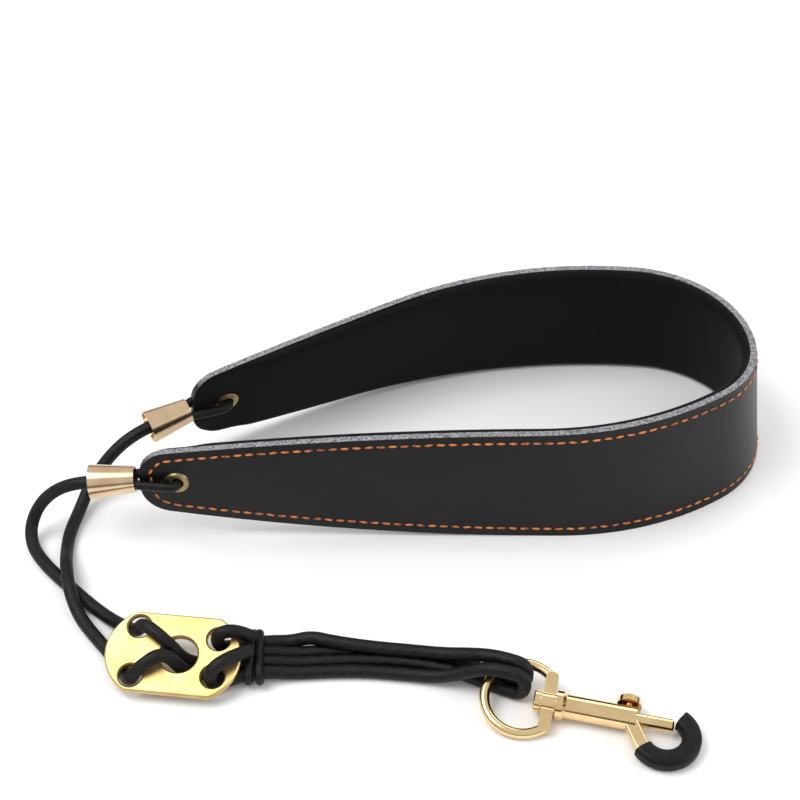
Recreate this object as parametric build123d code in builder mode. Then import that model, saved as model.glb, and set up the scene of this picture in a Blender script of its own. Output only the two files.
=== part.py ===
"""Saxophone neck strap: a padded leather band, two cord leads, a slide adjuster and a swivel snap hook.

Units are millimetres. +X runs along the strap's length, +Y across it and +Z up; the band stands on its
bottom edge and the cords and the hook lie on the same surface, z = 0.
"""

import math
import os

from build123d import *

os.makedirs("parts", exist_ok=True)

# ---- Driving dimensions: the band -------------------------------------------------------------
BAND_HEIGHT = 48.0
LEATHER = 2.3
FOAM = 2.3
LINING = 1.0
FOAM_INSET = 1.2
FOAM_REACH = 600.0
TIP_X = -100.2
TIP_HEIGHTS = {"front": 26.3, "back": 24.6}
TAPER_LENGTH = 145.0
TAPER_BOTTOMS = {"front": 14.2, "back": 9.0}
TAPER_TOP = 9.6
TIP_RADIUS_BOTTOM = 11.5
TIP_RADIUS_TOP = 10.5
PAD_SLOPE = 8.0
PAD_CLEARANCE = 0.4
PAD_CUT_ROOM = 4.0
TAPER_MARGIN = 5.0

# The band's plan line at its bottom and top edge: level, y, straight run, bend radii, last straight run.
BEND_TURNS = (35.0, 55.0, 84.5, 33.0)
BOTTOM_EDGE = (0.0, 2.9, 143.6, (102.5, 40.0, 43.0, 213.0), 56.8)
TOP_EDGE = (BAND_HEIGHT, 2.5, 133.8, (113.0, 32.5, 44.0, 153.0), 81.1)

# ---- Driving dimensions: eyelets, cones and cord ----------------------------------------------
EYELET_IN = 12.5
EYELET_BORE = 4.8
EYELET_WALL = 0.4
FLANGE_DIAMETER = 8.8
FLANGE = 0.7
WASHER = 0.6
LIP = 0.35
CONE_GAP = 1.6
CONE_LENGTH = 15.4
CONE_NARROW = 8.8
CONE_MOUTH = 12.0
CONE_WALL = 0.6
FRONT_DROOP = 5.0
BACK_DROOP = 6.0
BACK_SWING = 1.0
KNOT_START = 6.5
KNOT_LENGTH = 6.0
KNOT_CLEARANCE = 0.3
CORD = 3.9
LOOP_CORD = 2.5
LOOP_CLEARANCE = 0.25
LOOP_BEND = 10.5
LOOP_IN = 1.5
ARC_SHARE = 0.45

# ---- Driving dimensions: the adjuster plate and its knot --------------------------------------
PLATE_CENTRE = (-84.8, -57.7, 8.2)
PLATE_HEADING = -6.7
PLATE_ROLL = 18.0
PLATE_LENGTH = 44.0
PLATE_WIDTH = 27.0
PLATE_THICKNESS = 2.6
PLATE_END_RADIUS = 15.0
PLATE_EDGE = 0.5
SIDE_HOLE = 7.6
LEFT_HOLES = (-12.3, 8.4)
RIGHT_HOLES = (14.0, 6.4)
CENTRE_HOLE = 12.2
CENTRE_HOLE_X = 2.0
KNOT_CENTRE = (-58.8, -55.25)
KNOT_SIZE = (5.5, 21.4, 8.2)
KNOT_SLOT = (17.8, 4.9)
KNOT_RISE = 0.2
STRAND_LEVEL = 4.2

# ---- Driving dimensions: the swivel ring and the snap hook ------------------------------------
RING_APEX = (14.6, -70.2, 5.66)
HOOK_HEADING = -12.0
HOOK_PITCH = 1.8
RING_ROLL = 16.0
SNAP_ROLL = 4.5
RING_WIRE = 3.3
RING_RADIUS = 11.85
RING_BAR_X = 20.2
RING_BAR_WIDTH = 4.0
BOSS_DIAMETER = 6.6
BOSS_LENGTH = 4.4
POST_DIAMETER = 3.2
POST_CLEARANCE = 0.1
POST_HEAD_DIAMETER = 7.0
POST_HEAD = 2.0
SWIVEL_GAP = 0.4
COLLAR_DIAMETER = 9.5
COLLAR = 2.0
BARREL_DIAMETER = 7.7
BARREL_END = 47.9
BOLT_DIAMETER = 4.3
BOLT_END = 59.8
BOLT_CLEARANCE = 0.1
BOLT_TRAVEL = 8.5
BORE_DEPTH = 16.4
STEM_DIAMETER = 2.4
STEM_X = 45.2
STEM_CLEARANCE = 0.25
KNOB_DIAMETER = 8.0
KNOB_BASE = 4.3
KNOB_HEIGHT = 4.1
SPRING_WIRE = 0.5
SPRING_TURNS = 6
HOOK_CENTRE = (57.5, -4.5)
HOOK_RADIUS = 8.3
HOOK_START = -150.0
HOOK_TIP = 55.0
HOOK_ARM = 7.6
HOOK_WIDTH = 4.4
HOOK_THICKNESS = 3.6
SLEEVE_START = -138.0
SLEEVE_WALL = 0.9
SLEEVE_FIT = 0.03
SLEEVE_CAP = 4.0

# ---- Cord routes, after the point inside each cone --------------------------------------------
LEAD_OUT = 20.0
LEAD_FRONT = (
    (-129.7, 5.7, 20.0), (-136.2, 6.0, 13.0), (-139.8, 2.5, 6.0), (-139.0, -3.5, 2.1),
    (-134.4, -11.0, 2.0), (-128.0, -18.3, 2.0), (-122.0, -24.1, 2.0), (-114.7, -31.5, 2.0),
    (-107.7, -37.5, 2.3), (-101.2, -43.5, 5.0), (-97.0, -47.5, 8.2), (-94.8, -49.3, 14.6),
    (-86.7, -55.85, 12.9), (-84.06, -56.1, 8.3),
)
LEAD_BACK = (
    (-113.6, 26.8, 17.0), (-121.3, 20.8, 8.0), (-124.5, 12.6, 3.0), (-126.8, 2.5, 2.0),
    (-126.6, -7.0, 2.1), (-124.8, -17.1, 6.8), (-122.4, -27.9, 6.8), (-118.5, -36.0, 2.2),
    (-112.7, -44.0, 2.0), (-106.2, -52.0, 2.0), (-100.7, -60.0, 2.0), (-98.8, -64.0, 3.2),
    (-95.8, -64.7, 9.6), (-87.2, -60.2, 13.7), (-84.16, -60.4, 8.3),
)
STRAND_FRONT = (
    (-84.0, -56.1, 8.2), (-80.6, -56.4, 2.3), (-71.7, -55.1, 2.3), (-63.2, -53.7, 4.1),
    (-55.2, -52.8, 4.3), (-46.7, -51.9, 2.1), (-36.2, -50.9, 2.0), (-24.2, -50.4, 2.1), (-12.2, -50.9, 2.0),
    (-3.2, -52.3, 2.0), (5.8, -54.7, 2.1), (13.8, -58.5, 2.0), (20.8, -61.8, 2.0),
    (28.0, -65.0, 2.1), (28.1, -65.4, 12.2), (22.3, -63.1, 12.6), (16.3, -60.9, 12.0),
    (9.3, -57.9, 9.0), (1.8, -55.5, 6.2), (-9.2, -53.8, 5.8), (-21.2, -52.5, 5.9),
    (-33.2, -50.5, 6.1), (-41.2, -48.1, 6.0), (-47.7, -47.9, 3.4), (-54.7, -48.7, 4.3),
    (-61.7, -49.7, 4.2), (-66.2, -51.5, 5.2), (-70.4, -53.1, 6.8), (-71.0, -54.1, 14.6),
    (-64.4, -52.7, 14.9), (-59.4, -52.5, 10.8),
)
STRAND_BACK = (
    (-84.1, -60.4, 8.2), (-80.8, -60.6, 2.3), (-71.7, -59.3, 2.3), (-63.2, -57.8, 4.1),
    (-55.2, -56.9, 4.3), (-46.7, -56.0, 2.1), (-36.2, -55.1, 2.0), (-24.2, -54.6, 2.1), (-12.2, -55.1, 2.0),
    (-3.2, -56.6, 2.0), (5.8, -59.2, 2.1), (13.8, -63.2, 2.0), (19.8, -66.2, 2.0),
    (27.0, -69.0, 2.1), (27.2, -69.3, 11.6), (21.3, -67.4, 12.0), (15.3, -65.7, 11.6),
    (8.3, -63.9, 7.2), (0.3, -62.3, 2.9), (-11.2, -60.4, 2.0), (-24.2, -59.1, 2.1),
    (-36.2, -59.4, 2.0), (-46.7, -60.1, 2.1), (-55.2, -61.0, 4.2), (-62.2, -62.1, 4.1), (-67.2, -63.9, 3.2),
    (-72.0, -65.8, 3.0), (-72.5, -66.4, 11.0), (-66.0, -62.0, 12.8), (-59.8, -58.1, 11.0),
)

# ---- Values worked out from the driving dimensions --------------------------------------------
PAD_START = EYELET_IN + FLANGE_DIAMETER / 2 + PAD_CLEARANCE
PAD_FULL = PAD_START + PAD_SLOPE
BAND_THICKNESS = LEATHER + FOAM + LINING
TIP_THICKNESS = LEATHER + LINING
EYELET_BARREL = EYELET_BORE + 2 * EYELET_WALL
BELOW_FLANGE = TIP_THICKNESS + WASHER + LIP


def band_line(edge, depth):
    """Draw one edge of the band in plan, depth mm in from its outer face; return its first and last."""
    _, y, first_run, radii, last_run = edge
    first = Line((TIP_X, y + depth), (TIP_X + first_run, y + depth))
    bend = first
    for radius, turn in zip(radii, BEND_TURNS):
        bend = JernArc(bend @ 1, bend % 1, radius - depth, turn)
    last = Line(bend @ 1, bend @ 1 + bend % 1 * last_run)
    return first, last


def band_section(edge, near, far):
    """The band's plan outline at one edge, between two depths from its outer face."""
    with BuildSketch(Plane.XY.offset(edge[0])) as section:
        with BuildLine():
            outer = band_line(edge, near)
            inner = band_line(edge, far)
            Line(outer[0] @ 0, inner[0] @ 0)
            Line(outer[1] @ 1, inner[1] @ 1)
        make_face()
    return section.sketch


def back_tip(edge):
    """The band's far end at one edge, on its outer face, and the way back along the band from there."""
    with BuildLine() as plan:
        last = band_line(edge, 0.0)[1]
    end = last @ 1
    return Vector(end.X, end.Y, edge[0]), last % 1 * -1


BACK_BOTTOM, BACK_ALONG = back_tip(BOTTOM_EDGE)
BACK_TOP = back_tip(TOP_EDGE)[0]
FRONT_BOTTOM = Vector(TIP_X, BOTTOM_EDGE[1], 0)
FRONT_TOP = Vector(TIP_X, TOP_EDGE[1], BAND_HEIGHT)
FRONT_ALONG = Vector(1, 0, 0)


def at(plane, x, y=0.0, z=0.0):
    """A point given in a plane's own directions."""
    return plane.from_local_coords(Vector(x, y, z))


def tip_plane(end, bottom, top, along, side):
    """Plane at a tip's middle on the outer face: x into the band, z through its thickness."""
    up = (top - bottom).normalized()
    return Plane(origin=bottom + (top - bottom) * (TIP_HEIGHTS[end] / BAND_HEIGHT), x_dir=along,
                 z_dir=up.cross(along) * side)


# The band runs out along the front leg and comes back along the other, so its inner side changes hands.
TIP_PLANES = {
    "front": tip_plane("front", FRONT_BOTTOM, FRONT_TOP, FRONT_ALONG, 1),
    "back": tip_plane("back", BACK_BOTTOM, BACK_TOP, BACK_ALONG, -1),
}
# Upright planes for the taper: x along the leg from its tip, y up; and how far it is cut, out and in.
TAPER_PLANES = {
    "front": (Plane(origin=FRONT_BOTTOM, x_dir=FRONT_ALONG, z_dir=(0, -1, 0)), 20.0, 20.0),
    "back": (Plane(BACK_BOTTOM, x_dir=BACK_ALONG, z_dir=(BACK_ALONG.Y, -BACK_ALONG.X, 0)), 36.0, 12.0),
}


def taper_waste(end, plane, inset):
    """What a tapering end leaves over: everything round its upright outline, inset from the edges."""
    high = BAND_HEIGHT - inset
    with BuildSketch() as keep:
        with BuildLine():
            low = TangentArc((TAPER_LENGTH, inset), (inset, TAPER_BOTTOMS[end] + inset), tangent=(-1, 0))
            top = TangentArc((TAPER_LENGTH, high), (inset, high - TAPER_TOP), tangent=(-1, 0))
            Line(low @ 1, top @ 1)
            Line(low @ 0, top @ 0)
        make_face()
        fillet(keep.vertices().group_by(Axis.X)[0].sort_by(Axis.Y)[0], TIP_RADIUS_BOTTOM)
        fillet(keep.vertices().filter_by(lambda v: v.X < inset + 0.01).sort_by(Axis.Y)[-1], TIP_RADIUS_TOP)
    with BuildSketch(plane) as waste:
        with Locations((TAPER_LENGTH / 2 - TAPER_MARGIN, BAND_HEIGHT / 2)):
            Rectangle(TAPER_LENGTH, BAND_HEIGHT + 2 * TAPER_MARGIN)
        add(keep.sketch, mode=Mode.SUBTRACT)
    return waste.sketch


def pad_cut(near, far, start, full):
    """Prisms that thin a tip: nothing deeper than near up to start, sloping to far at full."""
    prisms = []
    for plane in TIP_PLANES.values():
        side = Plane(origin=plane.origin, x_dir=plane.x_dir, z_dir=plane.x_dir.cross(plane.z_dir))
        with BuildPart() as prism:
            with BuildSketch(side):
                with BuildLine():
                    Polyline((-1, near), (start, near), (full, far), (full, far + PAD_CUT_ROOM),
                             (-1, far + PAD_CUT_ROOM), close=True)
                make_face()
            extrude(amount=BAND_HEIGHT, both=True)
        prisms.append(prism.part)
    return prisms


def cut_tips(inset):
    """Taper both ends of the current piece."""
    for end, (plane, reach, back) in TAPER_PLANES.items():
        waste = taper_waste(end, plane, inset)
        extrude(waste, amount=reach, mode=Mode.SUBTRACT)
        extrude(waste, amount=-back, mode=Mode.SUBTRACT)


def eyelet_holes(diameter):
    """Bore both eyelet holes through the current piece."""
    for plane in TIP_PLANES.values():
        with Locations(Plane(at(plane, EYELET_IN, 0, TIP_THICKNESS / 2), z_dir=plane.z_dir)):
            Cylinder(diameter / 2, 4 * TIP_THICKNESS, mode=Mode.SUBTRACT)


def finish(part, name):
    """Label a finished piece and write it."""
    part.label = name
    export_step(part, f"parts/{name}.step")


# ---- The band: leather outside, foam inside, lining round the foam ----------------------------
with BuildPart() as leather_band:
    loft([band_section(BOTTOM_EDGE, 0, LEATHER), band_section(TOP_EDGE, 0, LEATHER)], ruled=True)
    cut_tips(0)
    eyelet_holes(EYELET_BARREL)
finish(leather_band.part, "leather_band")

with BuildPart() as foam_core:
    loft([band_section(edge, LEATHER, LEATHER + FOAM) for edge in (BOTTOM_EDGE, TOP_EDGE)], ruled=True)
    with Locations((0, 0, BAND_HEIGHT / 2)):
        Box(FOAM_REACH, FOAM_REACH, BAND_HEIGHT - 2 * FOAM_INSET, mode=Mode.INTERSECT)
    cut_tips(FOAM_INSET)
    for prism in pad_cut(LEATHER - LINING, LEATHER + FOAM, PAD_START, PAD_FULL + LINING):
        add(prism, mode=Mode.SUBTRACT)
finish(foam_core.part, "foam_core")

with BuildPart() as lining:
    loft([band_section(edge, LEATHER, BAND_THICKNESS) for edge in (BOTTOM_EDGE, TOP_EDGE)], ruled=True)
    cut_tips(0)
    for prism in pad_cut(TIP_THICKNESS, BAND_THICKNESS, PAD_START, PAD_FULL):
        add(prism, mode=Mode.SUBTRACT)
    add(foam_core.part, mode=Mode.SUBTRACT)
    eyelet_holes(EYELET_BARREL)
finish(lining.part, "lining")

# ---- Eyelets, washers, cones, knots and loops: one set at each tip ----------------------------
CONE_DIRECTIONS = {
    "front": (180.0, FRONT_DROOP),
    "back": (math.degrees(math.atan2(-BACK_ALONG.Y, -BACK_ALONG.X)) + BACK_SWING, BACK_DROOP),
}
LEAD_STARTS = {}
TIP_SETS = {}
for end, plane in TIP_PLANES.items():
    eyelet_plane = Plane(at(plane, EYELET_IN), x_dir=plane.x_dir, z_dir=plane.z_dir)
    eyelet_axis = Axis(eyelet_plane.origin, eyelet_plane.z_dir)
    with BuildPart() as eyelet:
        across = plane.x_dir.cross(plane.z_dir)
        with BuildSketch(Plane(eyelet_plane.origin, x_dir=plane.x_dir, z_dir=across)):
            with BuildLine():
                bore = EYELET_BORE / 2
                rim = FLANGE_DIAMETER / 2
                barrel = EYELET_BARREL / 2
                Polyline((bore, -FLANGE), (rim - FLANGE / 2, -FLANGE), (rim, 0), (barrel, 0),
                         (barrel, BELOW_FLANGE - LIP), (barrel + LIP, BELOW_FLANGE - LIP),
                         (barrel + LIP, BELOW_FLANGE), (bore, BELOW_FLANGE), close=True)
            make_face()
        revolve(axis=eyelet_axis)
    finish(eyelet.part, f"eyelet_{end}")
    with BuildPart() as washer:
        with BuildSketch(eyelet_plane.offset(TIP_THICKNESS)):
            Circle(FLANGE_DIAMETER / 2)
            Circle(EYELET_BARREL / 2, mode=Mode.SUBTRACT)
        extrude(amount=WASHER)
    finish(washer.part, f"washer_{end}")

    heading, droop = (math.radians(angle) for angle in CONE_DIRECTIONS[end])
    level = math.cos(droop)
    toward = Vector(level * math.cos(heading), level * math.sin(heading), -math.sin(droop))
    narrow = at(plane, -CONE_GAP, 0, TIP_THICKNESS / 2)
    side = plane.z_dir - toward * plane.z_dir.dot(toward)
    cone_plane = Plane(origin=narrow, x_dir=toward, z_dir=toward.cross(side))
    cone_axis = Axis(narrow, toward)
    with BuildPart() as cone:
        with BuildSketch(cone_plane):
            with BuildLine():
                small = CONE_NARROW / 2
                large = CONE_MOUTH / 2
                Polyline((0, small - CONE_WALL), (0, small), (CONE_LENGTH, large),
                         (CONE_LENGTH, large - CONE_WALL), close=True)
            make_face()
        revolve(axis=cone_axis)
    finish(cone.part, f"cone_{end}")

    knot_bore = (small - CONE_WALL) + (large - small) * KNOT_START / CONE_LENGTH
    with BuildPart() as cone_knot:
        with BuildSketch(Plane(narrow + toward * KNOT_START, z_dir=toward)):
            Circle(knot_bore - KNOT_CLEARANCE)
        extrude(amount=KNOT_LENGTH)
        fillet(cone_knot.edges().filter_by(GeomType.CIRCLE), KNOT_CLEARANCE * 2)
    finish(cone_knot.part, f"cone_knot_{end}")
    LEAD_STARTS[end] = (narrow + toward * (KNOT_START + KNOT_LENGTH), narrow + toward * LEAD_OUT)
    TIP_SETS[end] = (eyelet_plane, cone_plane)


def cord(name, points, diameter):
    """A cord: straight runs joined by arcs as large as the runs allow."""
    points = [Vector(*point) if isinstance(point, tuple) else point for point in points]
    runs = [after - before for before, after in zip(points, points[1:])]
    radii = []
    for before, after in zip(runs, runs[1:]):
        turn = math.radians(before.get_angle(after))
        radii.append(ARC_SHARE * min(before.length, after.length) / math.tan(turn / 2))
    with BuildPart() as tube:
        with BuildLine() as route:
            FilletPolyline(*points, radius=radii)
        with BuildSketch(Plane(route.line @ 0, z_dir=route.line % 0)):
            Circle(diameter / 2)
        sweep()
    length = sum(edge.length for edge in route.line.edges())
    share = tube.part.volume / (length * math.pi * diameter**2 / 4)
    print(f"{name}: {length:.1f} mm, least radius {min(radii):.1f}, volume share {share:.4f}")
    finish(tube.part, name)
    return tube.part


# A doubled cord goes from the knot in the cone along one face, through the eyelet and back.
for end, (eyelet_plane, cone_plane) in TIP_SETS.items():
    reach = LOOP_CORD / 2 + LOOP_CLEARANCE
    outside = -FLANGE - reach
    inside = BELOW_FLANGE + reach
    knot_gap = LOOP_CORD / 2 + LOOP_CLEARANCE
    near_knot = at(cone_plane, KNOT_START, -knot_gap)
    far_knot = at(cone_plane, KNOT_START, knot_gap)
    near_mouth = at(cone_plane, LOOP_IN, -knot_gap - LOOP_CLEARANCE / 2)
    far_mouth = at(cone_plane, LOOP_IN, knot_gap + LOOP_CLEARANCE / 2)
    legs = [
        near_knot, near_mouth,
        at(eyelet_plane, -LOOP_BEND, 0, outside),
        at(eyelet_plane, 0, 0, outside),
        at(eyelet_plane, 0, 0, inside),
        at(eyelet_plane, -LOOP_BEND, 0, inside),
        far_mouth, far_knot,
    ]
    cord(f"cord_loop_{end}", legs, LOOP_CORD)

cord("cord_lead_front", [*LEAD_STARTS["front"], *LEAD_FRONT], CORD)
cord("cord_lead_back", [*LEAD_STARTS["back"], *LEAD_BACK], CORD)
cord("cord_strand_front", STRAND_FRONT, CORD)
cord("cord_strand_back", STRAND_BACK, CORD)


def framed(origin, heading, pitch, roll):
    """A plane whose x points along a heading, dipping by pitch, and which is rolled about that x."""
    turn, dip, tilt = math.radians(heading), math.radians(pitch), math.radians(roll)
    along = Vector(math.cos(dip) * math.cos(turn), math.cos(dip) * math.sin(turn), -math.sin(dip))
    level = Vector(-math.sin(turn), math.cos(turn), 0)
    upright = along.cross(level)
    side = level * math.cos(tilt) + upright * math.sin(tilt)
    return Plane(origin=origin, x_dir=along, z_dir=along.cross(side))


def facing_along(plane, x):
    """The plane across another plane's x direction, x mm along it."""
    return Plane(origin=at(plane, x, 0, 0), x_dir=plane.y_dir, z_dir=plane.x_dir)


# ---- The adjuster plate and the knot that holds the strands -----------------------------------
PLATE = framed(PLATE_CENTRE, PLATE_HEADING, 0.0, PLATE_ROLL)
with BuildPart() as adjuster_plate:
    with BuildSketch(PLATE.offset(-PLATE_THICKNESS / 2)):
        half = PLATE_WIDTH / 2
        bow = PLATE_END_RADIUS - math.sqrt(PLATE_END_RADIUS**2 - half**2)
        straight = PLATE_LENGTH / 2 - bow
        with BuildLine():
            Line((-straight, half), (straight, half))
            Line((-straight, -half), (straight, -half))
            ThreePointArc((straight, half), (straight + bow, 0), (straight, -half))
            ThreePointArc((-straight, half), (-straight - bow, 0), (-straight, -half))
        make_face()
        for hole_x, hole_y in (LEFT_HOLES, RIGHT_HOLES):
            with Locations((hole_x, hole_y), (hole_x, -hole_y)):
                Circle(SIDE_HOLE / 2, mode=Mode.SUBTRACT)
        with Locations((CENTRE_HOLE_X, 0)):
            Circle(CENTRE_HOLE / 2, mode=Mode.SUBTRACT)
    extrude(amount=PLATE_THICKNESS)
    faces = adjuster_plate.faces().sort_by(Axis(PLATE.origin, PLATE.z_dir))
    chamfer(faces[0].edges() + faces[-1].edges(), PLATE_EDGE)
finish(adjuster_plate.part, "adjuster_plate")

with BuildPart() as cord_knot:
    with BuildSketch(Plane((*KNOT_CENTRE, STRAND_LEVEL), x_dir=(0, 1, 0), z_dir=(1, 0, 0))):
        with Locations((0, KNOT_RISE)):
            RectangleRounded(KNOT_SIZE[1], KNOT_SIZE[2], KNOT_SIZE[2] / 2 - 0.1)
        RectangleRounded(KNOT_SLOT[0], KNOT_SLOT[1], KNOT_SLOT[1] / 2 - 0.05, mode=Mode.SUBTRACT)
    extrude(amount=KNOT_SIZE[0] / 2, both=True)
finish(cord_knot.part, "cord_knot")

# ---- The swivel ring --------------------------------------------------------------------------
RING = framed(RING_APEX, HOOK_HEADING, HOOK_PITCH, RING_ROLL)
RING_ANGLE = math.degrees(math.acos((RING_BAR_X - RING_RADIUS) / RING_RADIUS))
RING_HALF = RING_RADIUS * math.sin(math.radians(RING_ANGLE))
with BuildPart() as swivel_ring:
    with BuildLine(RING) as bow_line:
        CenterArc((RING_RADIUS, 0), RING_RADIUS, RING_ANGLE, 360 - 2 * RING_ANGLE)
    with BuildSketch(Plane(bow_line.line @ 0, z_dir=bow_line.line % 0)):
        Circle(RING_WIRE / 2)
    sweep()
    with BuildSketch(RING.offset(-RING_WIRE / 2)):
        with Locations((RING_BAR_X, 0)):
            RectangleRounded(RING_BAR_WIDTH, 2 * RING_HALF + RING_WIRE, RING_WIRE / 2)
    extrude(amount=RING_WIRE)
    with BuildSketch(facing_along(RING, RING_BAR_X - BOSS_LENGTH / 2)):
        Circle(BOSS_DIAMETER / 2)
    extrude(amount=BOSS_LENGTH)
    with BuildSketch(facing_along(RING, RING_BAR_X - BOSS_LENGTH)):
        Circle(POST_DIAMETER / 2 + POST_CLEARANCE)
    extrude(amount=2 * BOSS_LENGTH, mode=Mode.SUBTRACT)
finish(swivel_ring.part, "swivel_ring")

# ---- The snap hook: body, post, bolt, knob, spring and sleeve ---------------------------------
SNAP = framed(RING_APEX, HOOK_HEADING, HOOK_PITCH, SNAP_ROLL)
SNAP_AXIS = Axis(SNAP.origin, SNAP.x_dir)
HEAD_FACE = RING_BAR_X - BOSS_LENGTH / 2 - SWIVEL_GAP
COLLAR_FACE = RING_BAR_X + BOSS_LENGTH / 2 + SWIVEL_GAP
BORE_END = BARREL_END - BORE_DEPTH
BOLT_BACK = STEM_X - STEM_DIAMETER / 2 - STEM_CLEARANCE


def turned(points):
    """Turn a profile, drawn as (along, radius) points, about the snap hook's axis."""
    with BuildSketch(SNAP) as profile:
        with BuildLine():
            Polyline(*points, close=True)
        make_face()
    revolve(profile.sketch, axis=SNAP_AXIS)


with BuildPart() as swivel_post:
    turned([(HEAD_FACE - POST_HEAD, 0), (HEAD_FACE - POST_HEAD, POST_HEAD_DIAMETER / 2 - 0.4),
            (HEAD_FACE - POST_HEAD + 0.4, POST_HEAD_DIAMETER / 2), (HEAD_FACE, POST_HEAD_DIAMETER / 2),
            (HEAD_FACE, POST_DIAMETER / 2), (COLLAR_FACE + COLLAR, POST_DIAMETER / 2),
            (COLLAR_FACE + COLLAR, 0)])
finish(swivel_post.part, "swivel_post")

with BuildPart() as snap_body:
    collar_end = COLLAR_FACE + COLLAR
    turned([(COLLAR_FACE, 0), (COLLAR_FACE, COLLAR_DIAMETER / 2), (collar_end, COLLAR_DIAMETER / 2),
            (collar_end + 1, BARREL_DIAMETER / 2), (BARREL_END, BARREL_DIAMETER / 2), (BARREL_END, 0)])
    turned_arm = math.radians(HOOK_START)
    hook_x = HOOK_CENTRE[0] + HOOK_RADIUS * math.cos(turned_arm)
    hook_y = HOOK_CENTRE[1] + HOOK_RADIUS * math.sin(turned_arm)
    arm_x = hook_x - HOOK_ARM * math.sin(-turned_arm)
    arm_y = hook_y + HOOK_ARM * -math.cos(turned_arm)
    with BuildLine(SNAP) as hook_line:
        Line((arm_x, arm_y), (hook_x, hook_y))
        CenterArc(HOOK_CENTRE, HOOK_RADIUS, HOOK_START, HOOK_TIP - HOOK_START)
    with BuildSketch(Plane(hook_line.line @ 0, x_dir=SNAP.z_dir, z_dir=hook_line.line % 0)):
        RectangleRounded(HOOK_THICKNESS, HOOK_WIDTH, 0.6)
    sweep()
    with BuildSketch(facing_along(SNAP, BORE_END)):
        Circle(BOLT_DIAMETER / 2 + BOLT_CLEARANCE)
    extrude(amount=BORE_DEPTH + HOOK_WIDTH, mode=Mode.SUBTRACT)
    with BuildSketch(facing_along(SNAP, COLLAR_FACE)):
        Circle(POST_DIAMETER / 2)
    extrude(amount=COLLAR, mode=Mode.SUBTRACT)
    slot_half = STEM_DIAMETER / 2 + STEM_CLEARANCE
    slot_length = BOLT_TRAVEL + 2 * slot_half
    with BuildSketch(Plane(SNAP.origin, x_dir=SNAP.x_dir, z_dir=SNAP.y_dir)):
        with Locations((STEM_X + slot_half - slot_length / 2, 0)):
            SlotOverall(slot_length, 2 * slot_half)
    extrude(amount=BARREL_DIAMETER, mode=Mode.SUBTRACT)
finish(snap_body.part, "snap_body")

with BuildPart() as snap_bolt:
    turned([(BOLT_BACK, 0), (BOLT_BACK, BOLT_DIAMETER / 2), (BOLT_END - 0.6, BOLT_DIAMETER / 2),
            (BOLT_END, BOLT_DIAMETER / 2 - 0.6), (BOLT_END, 0)])
    with BuildSketch(Plane(at(SNAP, STEM_X, 0, 0), x_dir=SNAP.x_dir, z_dir=SNAP.y_dir)):
        Circle(STEM_DIAMETER / 2)
    extrude(amount=BOLT_DIAMETER, mode=Mode.SUBTRACT)
finish(snap_bolt.part, "snap_bolt")

with BuildPart() as thumb_knob:
    knob_plane = Plane(at(SNAP, STEM_X, 0, 0), x_dir=SNAP.x_dir, z_dir=SNAP.z_dir)
    with BuildSketch(knob_plane):
        radius = KNOB_DIAMETER / 2
        with BuildLine():
            Polyline((0, 0), (STEM_DIAMETER / 2, 0), (STEM_DIAMETER / 2, KNOB_BASE), (radius, KNOB_BASE),
                     (radius, KNOB_BASE + KNOB_HEIGHT / 2))
            TangentArc((0, KNOB_BASE + KNOB_HEIGHT), (radius, KNOB_BASE + KNOB_HEIGHT / 2), tangent=(1, 0))
            Line((0, KNOB_BASE + KNOB_HEIGHT), (0, 0))
        make_face()
    revolve(axis=Axis(knob_plane.origin, SNAP.y_dir))
finish(thumb_knob.part, "thumb_knob")

with BuildPart() as bolt_spring:
    spring_radius = BOLT_DIAMETER / 2 - SPRING_WIRE
    spring_length = BOLT_BACK - BORE_END - 2 * SPRING_WIRE
    with BuildLine() as coil:
        Helix(pitch=spring_length / SPRING_TURNS, height=spring_length, radius=spring_radius,
              center=at(SNAP, BORE_END + SPRING_WIRE), direction=SNAP.x_dir)
    with BuildSketch(Plane(coil.line @ 0, z_dir=coil.line % 0)):
        Circle(SPRING_WIRE / 2)
    sweep(is_frenet=True)
finish(bolt_spring.part, "bolt_spring")

with BuildPart() as rubber_sleeve:
    with BuildLine(SNAP) as sleeve_line:
        CenterArc(HOOK_CENTRE, HOOK_RADIUS, SLEEVE_START, HOOK_TIP + SLEEVE_CAP - SLEEVE_START)
    with BuildSketch(Plane(sleeve_line.line @ 0, x_dir=SNAP.z_dir, z_dir=sleeve_line.line % 0)):
        RectangleRounded(HOOK_THICKNESS + 2 * SLEEVE_WALL, HOOK_WIDTH + 2 * SLEEVE_WALL, 2.0)
    sweep()
    with BuildLine(SNAP) as fit_line:
        CenterArc(HOOK_CENTRE, HOOK_RADIUS, SLEEVE_START - 5, HOOK_TIP + 5 - SLEEVE_START)
    with BuildSketch(Plane(fit_line.line @ 0, x_dir=SNAP.z_dir, z_dir=fit_line.line % 0)):
        RectangleRounded(HOOK_THICKNESS + 2 * SLEEVE_FIT, HOOK_WIDTH + 2 * SLEEVE_FIT, 0.6)
    sweep(path=fit_line.line, mode=Mode.SUBTRACT)
finish(rubber_sleeve.part, "rubber_sleeve")
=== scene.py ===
"""Looks of a saxophone neck strap: leather band, cords, adjuster plate and swivel snap hook."""

import math

import bmesh
import bpy
from bpy.props import FloatProperty, FloatVectorProperty, PointerProperty
from mathutils import Matrix, Vector


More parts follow.
